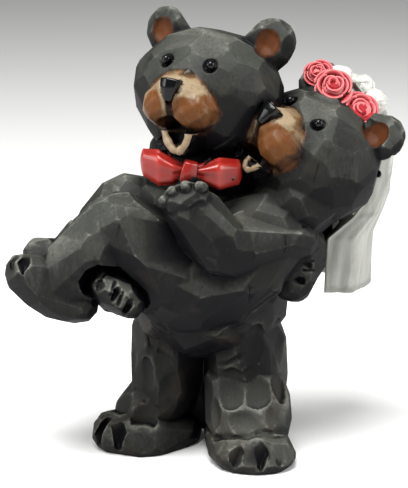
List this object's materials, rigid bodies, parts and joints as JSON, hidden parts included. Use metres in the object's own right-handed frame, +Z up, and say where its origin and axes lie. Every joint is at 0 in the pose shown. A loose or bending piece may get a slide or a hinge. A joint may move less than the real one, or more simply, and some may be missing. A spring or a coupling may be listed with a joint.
{
  "type": "wedding bear figurine",
  "caption": "One resin casting in a whittled style: a standing groom bear with a red bow tie carries his bride, who wears roses and a short veil",
  "frame": {"origin": "On the floor, under the middle of the figurine's bounding box", "axes": "+Z up from the soles; -Y towards the viewer, the side on which both faces show; +X to the viewer's right, where the bride's head and veil are"},
  "size_m": [0.1386, 0.0752, 0.1595],
  "materials": {
    "fur": "charcoal paint, dry-brushed lighter on the knife ridges",
    "muzzle": "cream and tan paint stained orange-brown",
    "gloss_black": "wet-looking gloss black",
    "bow": "satin to gloss red paint",
    "rose": "coral pink paint, darker in the folds",
    "veil": "off-white paint with grey streaks",
    "inner_ear": "rust brown paint"
  },
  "bodies": {
    "root": {"bear_couple": "fur"}
  },
  "joints": []
}
